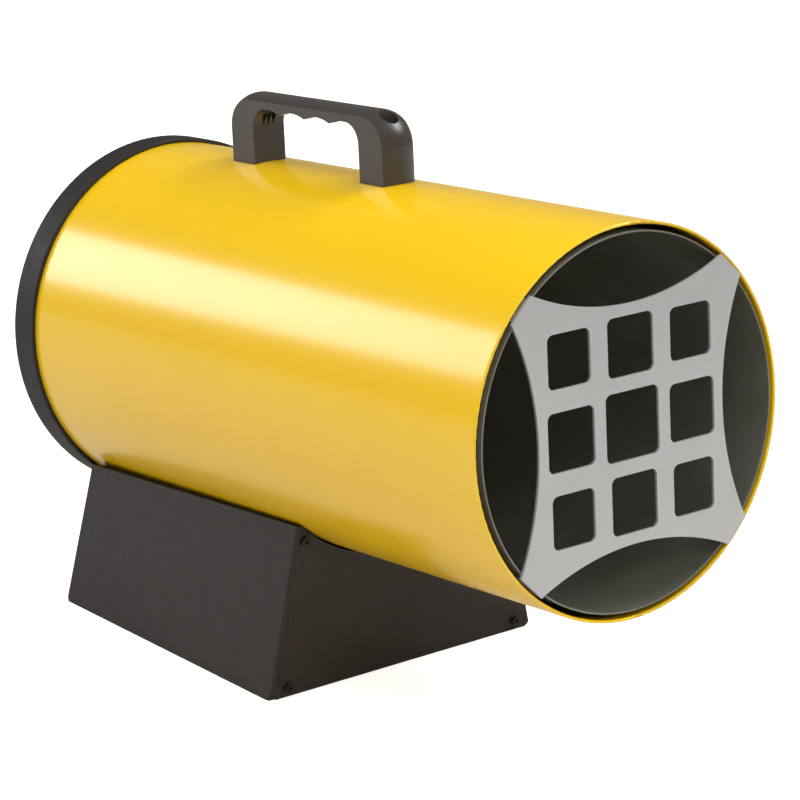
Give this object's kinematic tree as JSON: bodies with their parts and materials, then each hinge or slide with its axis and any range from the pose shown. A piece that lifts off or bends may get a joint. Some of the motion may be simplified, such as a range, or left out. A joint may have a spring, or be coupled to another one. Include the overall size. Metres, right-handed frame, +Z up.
{
  "type": "portable gas forced air heater",
  "caption": "Portable gas space heater: tilted round casing with square cut grille, handle, fan and burner inside, on a folded sheet base with controls at the rear.",
  "frame": {"origin": "middle of the base footprint on the floor", "axes": "+Z up, the outlet faces -Y, +X to the right seen from behind the heater"},
  "size_m": [0.2046, 0.4163, 0.3045],
  "materials": {
    "yellow_enamel": "satin",
    "brown_sheet": "fine matt powder coat",
    "black_plastic": "satin moulded",
    "control_plastic": "satin moulded",
    "grille_steel": "plain sheet",
    "heated_steel": "dull, heat tinted",
    "zinc_steel": "zinc plated",
    "black_wire": "satin",
    "black_screw": "satin",
    "cast_alloy": "as cast",
    "brass": "machined",
    "copper": "drawn copper",
    "white_ceramic": "unglazed",
    "lead_rubber": "matt",
    "button_red": "gloss",
    "button_white": "gloss",
    "block_plastic": "matt"
  },
  "bodies": {
    "heater": {"casing": "yellow_enamel", "combustion_chamber": "heated_steel", "chamber_spacers": "zinc_steel", "outlet_grille": "grille_steel", "rear_ring": "black_plastic", "inlet_guard": "black_wire", "guard_screws": "zinc_steel", "handle": "black_plastic", "handle_screws": "zinc_steel", "handle_nuts": "zinc_steel", "motor_bracket": "zinc_steel", "motor_stator": "heated_steel", "motor_windings": "copper", "motor_front_shield": "cast_alloy", "motor_rear_shield": "cast_alloy", "motor_bearings": "brass", "motor_bolts": "zinc_steel", "burner_cup": "zinc_steel", "burner_bracket": "zinc_steel", "gas_nozzle": "brass", "gas_pipe": "copper", "pipe_nuts": "brass", "ignition_electrode": "white_ceramic", "ignition_lead": "lead_rubber", "thermocouple": "copper", "motor_lead": "lead_rubber", "overheat_thermostat": "control_plastic", "gas_valve": "brass", "gas_inlet": "brass", "igniter_body": "control_plastic", "control_nuts": "zinc_steel", "switch_body": "control_plastic", "cable_gland": "control_plastic", "gland_nut": "control_plastic", "terminal_block": "block_plastic", "base_pan": "brown_sheet", "front_panel": "brown_sheet", "control_panel": "brown_sheet", "front_panel_screws": "black_screw", "control_panel_screws": "black_screw", "base_rivets": "zinc_steel"},
    "fan": {"fan_rotor": "cast_alloy", "fan_nut": "zinc_steel", "motor_shaft": "zinc_steel", "motor_rotor": "cast_alloy"},
    "rocker": {"switch_rocker": "control_plastic"},
    "valve_push": {"valve_button": "button_red"},
    "igniter_push": {"igniter_button": "button_white"}
  },
  "joints": [
    {"name": "fan_spin", "type": "hinge", "parent": "heater", "child": "fan", "pos_m": [0, 0.04986, 0.15677], "axis": [0, 0.9974, -0.0725], "continuous": true},
    {"name": "switch_rock", "type": "hinge", "parent": "heater", "child": "rocker", "pos_m": [0.02548, 0.09419, 0.02677], "axis": [1, 0, 0], "range_deg": [0, 16]},
    {"name": "valve_press", "type": "slide", "parent": "heater", "child": "valve_push", "axis": [0, -0.9978, -0.0663], "range_m": [0, 0.005], "stiffness_N_per_m": 800, "springref_m": -0.004},
    {"name": "igniter_press", "type": "slide", "parent": "heater", "child": "igniter_push", "axis": [0, -0.9978, -0.0663], "range_m": [0, 0.006], "stiffness_N_per_m": 900, "springref_m": -0.004}
  ]
}
